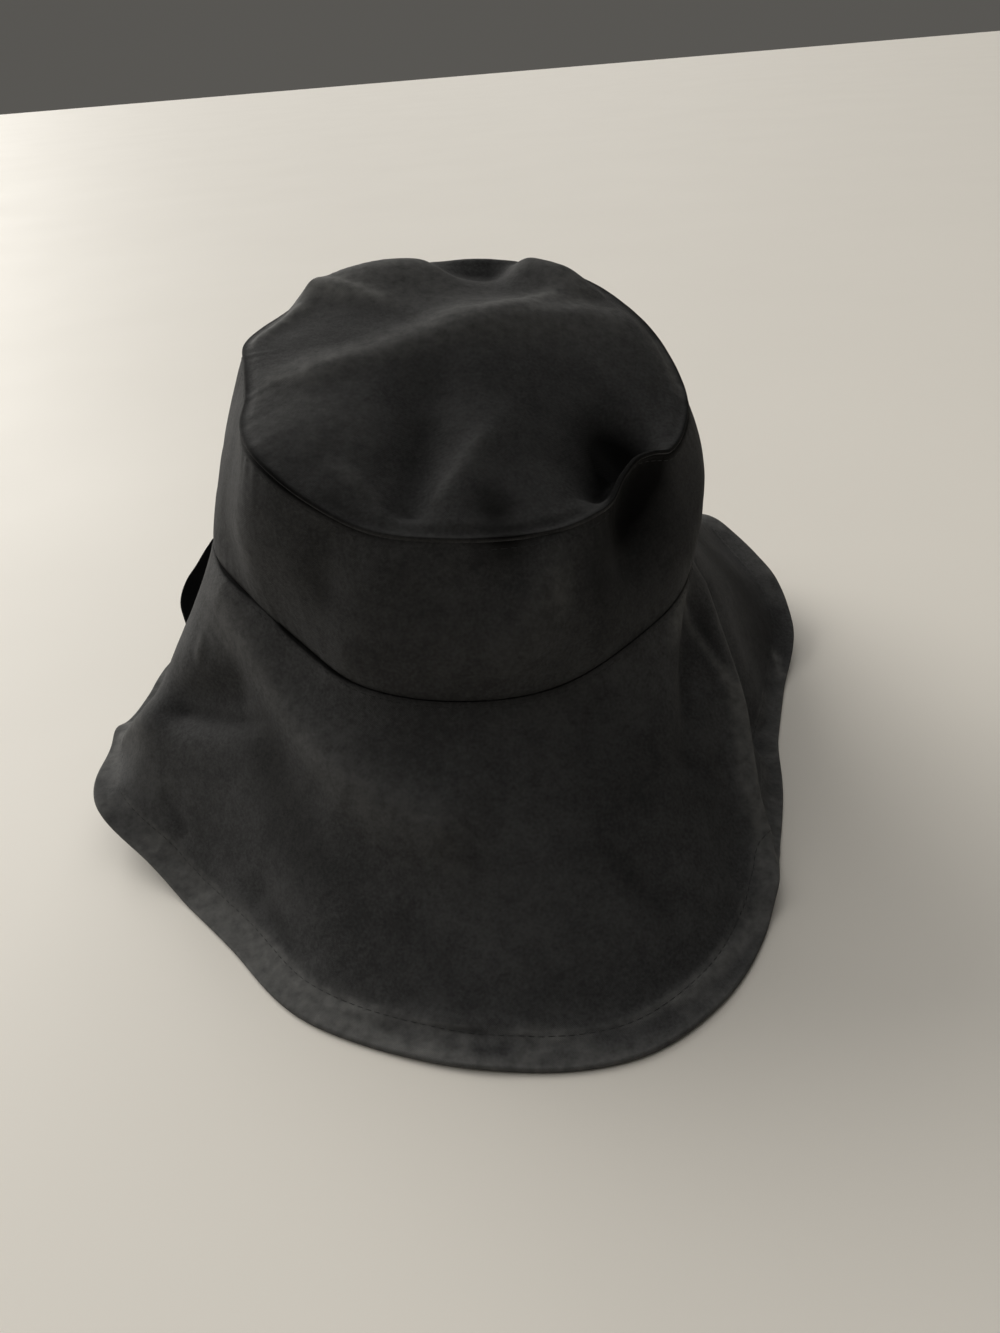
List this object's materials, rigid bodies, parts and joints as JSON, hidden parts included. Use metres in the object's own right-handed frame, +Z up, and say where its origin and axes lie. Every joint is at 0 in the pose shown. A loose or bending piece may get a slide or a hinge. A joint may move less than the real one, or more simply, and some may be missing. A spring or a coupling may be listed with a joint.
{
  "type": "sun hat",
  "caption": "Soft bucket-style sun hat of thin black cloth with a slouched crown and a wide floppy brim on which it stands.",
  "frame": {"origin": "on the surface that the hat stands on, under the middle of the hat's box", "axes": "+Z up, -Y towards the front of the hat, +X to the right when the hat is seen from its front"},
  "size_m": [0.3174, 0.3266, 0.1939],
  "materials": {
    "crown_top_cloth": "matt fine woven black cloth with a soft sheen",
    "crown_side_cloth": "matt fine woven black cloth with a soft sheen",
    "brim_cloth": "matt fine woven black cloth, two layers, with a stitched hem"
  },
  "bodies": {
    "root": {"crown_top": "crown_top_cloth", "crown_side": "crown_side_cloth", "brim": "brim_cloth"}
  },
  "joints": []
}
